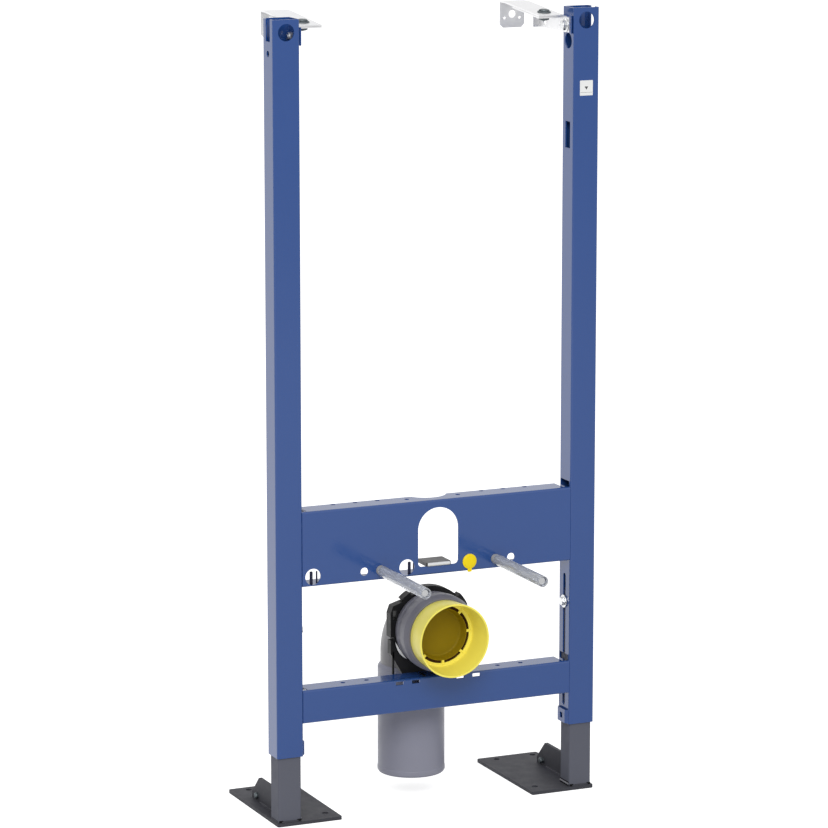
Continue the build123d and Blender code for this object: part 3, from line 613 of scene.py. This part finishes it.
disc_loop = eased([
    (0, -16.0), (33.0, -16.4), (35.2, -15.0), (37.6, ledge), (slot_inner, ledge), (slot_inner, slot_back),
    (37.4, -18.5), (0, -18.5),
], radius=0.8)
plug_disc = placed(turned(disc_loop, steps=96), plug_at, forward)
skin("plug_disc", "frame", "yellow_plastic", plug_painted_shade, plug_disc)

slot_middle = (slot_inner + slot_outer) / 2
ring_loop = eased([
    (slot_middle, slot_floor), (slot_outer, slot_floor), (slot_outer, slot_back), (slot_inner, slot_back),
    (slot_inner, slot_floor), (slot_middle, slot_floor),
], radius=0.1)
slot_ring = placed(turned(ring_loop, steps=96), plug_at, forward)
skin("plug_slot_ring", "frame", "yellow_plastic", slot_painted_shade, slot_ring)


def arc_block(inner, outer, low, high, middle, span, edge=0.4, steps=16, lens=False):
    """A block bent round local Z: a rounded loop of (radius, height) swept through a span in degrees and
    closed at both ends. As a lens its width follows sin(pi t) over the span."""
    centre = np.array([(inner + outer) / 2, (low + high) / 2])
    loop = eased([
        (centre[0], low), (outer, low), (outer, high), (inner, high), (inner, low), (centre[0], low),
    ], edge)
    t = np.concatenate([[0], np.linspace(0, 1, steps), [1]])
    size = np.sin(np.pi * t) if lens else np.ones(len(t))
    size[[0, -1]] = 0
    angle = np.radians(middle + span * (t - 0.5))[:, None]
    r = centre[0] + (loop[:, 0] - centre[0]) * size[:, None]
    h = centre[1] + (loop[:, 1] - centre[1]) * size[:, None]
    return np.stack([r * np.cos(angle), r * np.sin(angle), h], axis=-1)


rib_count, rib_first = 8, 2.0
rib_inner, rib_outer, rib_low, rib_span = slot_inner - 0.3, slot_outer + 0.3, slot_back + 0.1, 5.5
fin_outer, fin_low, fin_high, fin_span = 45.4, ledge - 0.2, ledge + 1.0, 2.0
for i in range(rib_count):
    middle = rib_first + 360 / rib_count * i
    rib = arc_block(rib_inner, rib_outer, rib_low, ledge, middle, rib_span, edge=0.3, steps=6)
    fin = arc_block(slot_inner, fin_outer, fin_low, fin_high, middle, fin_span, edge=0.3, steps=4)
    rib, fin = placed(rib, plug_at, forward), placed(fin, plug_at, forward)
    skin(f"plug_rib_{i + 1}", "frame", "yellow_plastic", plug_yellow, rib, fin)


# Clip and cradle
# A two-part black clamp in glass-filled plastic round the bend, standing on the lower cross member. A
# pale crescent between the cradle and the collar is a painted highlight of the collar's back edge. A
# thin leg stands beside the clip, and a short black bar lies flat on the flange of the member.
clip_plastic = finish_of("clip_plastic", (0.005, 0.005, 0.006), (0.008, 0.008, 0.009), rough=(0.42, 0.56),
                         grain=0.8, cloud=40, bump=0.02, ior=1.35)
# Near-white paint for the painted highlight of the collar's back edge.
crescent_highlight = finish_of("crescent_highlight", (0.86, 0.87, 0.87), (0.92, 0.93, 0.93), rough=(0.40, 0.55),
                         grain=0.8, cloud=40, bump=0.01)
dress(clip_plastic, "bend_clip", "clip_foot")

clip_front = box_mm("bend_clip")[0][1]
lower_top = box_mm("lower_cross_member")[1][2]
crescent = arc_block(inner=54.3, outer=57.8, low=0.1, high=0.9, middle=214, span=34,
                     edge=0.3, steps=24, lens=True)
highlight_lens = placed(crescent, (0, clip_front, drain_z), forward)
skin("clip_painted_highlight", "frame", "black_plastic", crescent_highlight, highlight_lens)
# The short black bar lies flat on the member's flange.
leg_at, flange_bar_at, flange_bar_sunk = (-55.8, 36.0, 213.0), (-18.5, 13.4), 0.1
leg_bar = slab(rounded(width=3.0, height=34.0, corner=0.8), low=0.0, high=3.0, edge=0.3)
flange_bar = slab(rounded(width=18.0, height=3.4, corner=1.0), low=0.0, high=1.6, edge=0.4)
leg_bar = placed(leg_bar, leg_at, forward)
flange_bar = placed(flange_bar, (*flange_bar_at, lower_top - flange_bar_sunk), (0, 0, 1))
skin("clip_leg", "frame", "black_plastic", clip_plastic, leg_bar)
skin("clip_flange_bar", "frame", "black_plastic", clip_plastic, flange_bar)


# Flush pipe holder and round cover
# A dark grey plate clipped on the sill of the arch, with a rolled front lip whose pale colour is a
# painted highlight, and a bright yellow cap with a pull tab in the large hole at the right.
holder_plastic = finish_of("holder_plastic", (0.055, 0.053, 0.056), (0.070, 0.068, 0.071), rough=(0.38, 0.5),
                           grain=0.8, cloud=40, bump=0.02)
# Pale paint for the painted highlight along the holder's rounded front edge.
lip_highlight = finish_of("lip_highlight", (0.70, 0.71, 0.73), (0.78, 0.79, 0.80), rough=(0.3, 0.4),
                        grain=0.8, cloud=40, bump=0.01)
cover_plastic = finish_of("cover_plastic", (0.92, 0.69, 0.003), (0.95, 0.73, 0.006), rough=(0.32, 0.42),
                          grain=1.2, cloud=50, bump=0.01, ior=1.35)
dress(holder_plastic, "flush_pipe_holder")

lip_r, lip_end_r, lip_edge, lip_length, lip_at = 2.5, 1.5, 0.6, 35.5, (-17.9, -1.3, 361.7)
lip_line = eased([
    (0, 0), (lip_end_r, 0), (lip_r, lip_edge), (lip_r, lip_length - lip_edge), (lip_end_r, lip_length),
    (0, lip_length),
], radius=0.8)
holder_lip = placed(turned(lip_line, steps=32), lip_at, (1, 0, 0))
skin("holder_front_lip", "frame", "dark_grey_plastic", lip_highlight, holder_lip)

cover_x, tab_drop = middle_of("hole_cover")[0], 11.9
cover_loop = eased([
    (0, 2.0), (8.6, 2.0), (9.2, 1.3), (10.9, 1.2), (11.0, 0.2), (10.2, 0.0), (10.1, -3.8), (0, -3.8),
], radius=0.5)
cover_cap = placed(turned(cover_loop, steps=64), (cover_x, 0.0, stud_z), forward)
cover_tab = slab(rounded(width=6.5, height=7.0, corner=1.2), low=0.2, high=1.4, edge=0.3)
cover_tab = placed(cover_tab, (cover_x, 0.0, stud_z - tab_drop), forward)
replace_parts(skin("round_cover", "frame", "yellow_plastic", cover_plastic, cover_cap), "hole_cover")
skin("round_cover_tab", "frame", "yellow_plastic", cover_plastic, cover_tab)


# Dark strips behind the open large holes
# Two short upright strips show through each of the two open large holes; their dark navy is painted
# shade. They stand on the lower flange, close behind the sheet.
# Dark navy paint for the painted shade on the strips behind the holes.
strip_painted_shade = finish_of("strip_painted_shade", (0.004, 0.006, 0.030), (0.006, 0.009, 0.038), rough=(0.40, 0.55),
                          grain=0.8, cloud=40, bump=0.01, ior=1.4)
strip_y, strip_z, strip_high, strip_thick = 5.6, 358.0, 19.0, 1.6
wide_strip = slab(rounded(4.4, strip_high, corner=1.2), 0.0, strip_thick, edge=0.3)
slim_strip = slab(rounded(2.2, strip_high, corner=0.8), 0.0, strip_thick, edge=0.3)
for name, wide_x, slim_x in (("outer", -195.0, -186.6), ("inner", -43.4, -36.6)):
    wide = placed(wide_strip, (wide_x, strip_y, strip_z), forward)
    slim = placed(slim_strip, (slim_x, strip_y, strip_z), forward)
    skin(f"{name}_hole_strips", "frame", "dark_grey_plastic", strip_painted_shade, wide, slim)


# Label on the right post
# A square white paper label stuck on the post's front at its upper end. A fine rule and a plain
# triangular level mark lie on it as thin films of dark ink.
label_paper = finish_of("label_paper", (0.78, 0.79, 0.78), (0.84, 0.85, 0.84), rough=(0.35, 0.45),
                        grain=0.6, cloud=30, bump=0.004)
label_ink = finish_of("label_ink", (0.03, 0.03, 0.035), (0.05, 0.05, 0.055), rough=(0.4, 0.5),
                      grain=0.6, cloud=30, bump=0.004)
label_x, label_z, label_wide, label_high = 230.2, 1033.6, 20.4, 21.6
rule_drop, mark_drop, mark_reach, mark_rise = 6.4, 0.2, 2.9, 2.3
ink_low, ink_high, ink_edge = 0.14, 0.2, 0.02
paper = slab(rounded(label_wide, label_high, corner=1.0), low=0.0, high=0.16, edge=0.05)
rule = slab(rounded(width=19.0, height=0.35, corner=0.1), ink_low, ink_high, ink_edge)
arrow = [(0, mark_rise), (-mark_reach, mark_rise), (0, -mark_rise), (mark_reach, mark_rise), (0, mark_rise)]
mark = slab(eased(arrow, radius=0.3), ink_low, ink_high, ink_edge)
for name, material, part, drop in (
    ("post_label", label_paper, paper, 0.0),
    ("label_rule", label_ink, rule, rule_drop),
    ("label_mark", label_ink, mark, mark_drop),
):
    part = placed(part, (label_x, 0.0, label_z - drop), forward)
    skin(name, "frame", "blue_powder_coat", material, part)


# Wall brackets and their bolts
# Galvanised steel angles: a strap bolted to the inner wall of each post, and a sloping arm with a wall
# plate that slides on it. The bolts are flanged hexagon bolts with nuts, in bright zinc on the straps
# and in dull steel on the arms, where they stand square to the slope.
galvanised = finish_of("galvanised", (0.80, 0.80, 0.81), (0.88, 0.88, 0.89), rough=(0.36, 0.50),
                       grain=1.6, cloud=18, bump=0.003, metal=1.0)
dress(galvanised, "left_bracket_mount", "right_bracket_mount", "left_wall_bracket", "right_wall_bracket")
flange_profile = eased([(0, 0.0), (9.4, 0.0), (10.0, 0.5), (9.8, 1.1), (8.0, 2.2), (0, 2.2)], radius=0.4)
bolt_flats, bolt_nut_high, strap_sheet = 13.0, 6.4, 2.0


def flanged_bolt(grip, tail, head_high):
    """The parts of a flanged bolt that stands on local Z = 0: flange, hexagon head, thread and nut. The
    nut clamps the grip, and the tail is all of the thread behind it."""
    return (
        turned(flange_profile, steps=56),
        hexagon_head(bolt_flats, head_high, low=1.9),
        threaded(radius=4.0, low=-grip - tail, high=0.1, pitch=1.25, depth=0.6, steps=20),
        hexagon_head(bolt_flats, bolt_nut_high, low=-grip - bolt_nut_high, hole=3.5),
    )


strap_face = box_mm("right_bracket_mount")[1][0] - strap_sheet
strap_yz = middle_of("right_bracket_bolt")[1:]
arm_low, arm_high = box_mm("right_wall_bracket")
arm_crest_y, arm_fall, clamp_y = 138.0, 10.5, 48.0
clamp_x = middle_of("right_bracket_clamp_bolt")[0]
slope = arm_fall / (arm_crest_y - arm_low[1])
clamp_z = arm_high[2] - slope * (arm_crest_y - clamp_y)
strap_bolt = flanged_bolt(grip=4.0, tail=7.4, head_high=4.6)
clamp_bolt = flanged_bolt(grip=4.3, tail=7.4, head_high=2.2)
for side, sign in sides.items():
    parts = [placed(part, (sign * strap_face, *strap_yz), (-sign, 0, 0)) for part in strap_bolt]
    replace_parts(skin(f"{side}_strap_bolt", "frame", "zinc_plate", zinc, *parts), f"{side}_bracket_bolt")
    parts = [placed(part, (sign * clamp_x, clamp_y, clamp_z), (0, -slope, 1)) for part in clamp_bolt]
    piece = skin(f"{side}_arm_bolt", f"{side}_bracket", "zinc_plate", dull_steel, *parts)
    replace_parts(piece, f"{side}_bracket_clamp_bolt")
